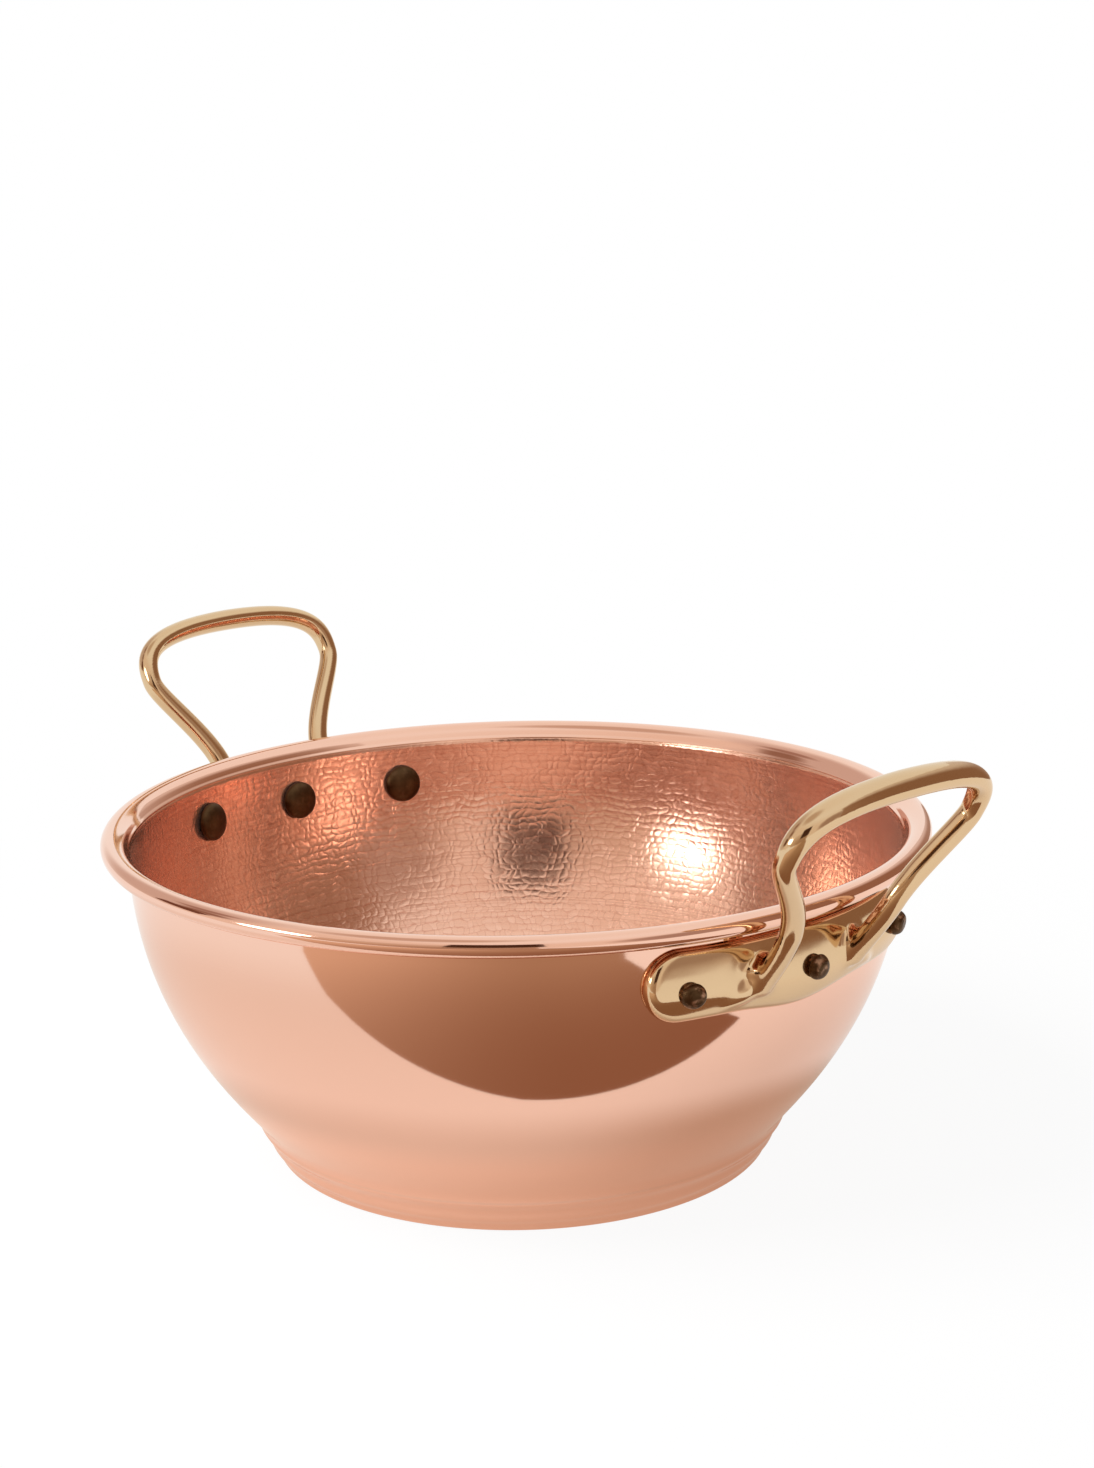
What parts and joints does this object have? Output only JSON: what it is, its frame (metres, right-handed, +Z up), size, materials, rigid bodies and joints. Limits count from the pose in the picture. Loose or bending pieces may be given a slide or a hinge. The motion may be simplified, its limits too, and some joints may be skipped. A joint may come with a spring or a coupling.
{
  "type": "sugar pan",
  "caption": "Deep round copper pan with a shallow conical foot, a rolled wired rim and two riveted bronze loop handles, for boiling sugar and jam.",
  "frame": {"origin": "middle of the flat underside of the base, on the surface the pan stands on", "axes": "+Z up out of the bowl, +X towards handle_right, the handles stand on the X axis"},
  "size_m": [0.376, 0.3, 0.1752],
  "materials": {
    "copper": "mirror polished outside, planished inside",
    "bronze": "polished casting",
    "dark_copper": "oxidised and peened",
    "steel": "drawn wire"
  },
  "bodies": {
    "root": {"bowl": "copper", "rim_wire": "steel", "handle_right": "bronze", "handle_left": "bronze", "rivet_right_1": "dark_copper", "rivet_right_2": "dark_copper", "rivet_right_3": "dark_copper", "rivet_left_1": "dark_copper", "rivet_left_2": "dark_copper", "rivet_left_3": "dark_copper"}
  },
  "joints": []
}
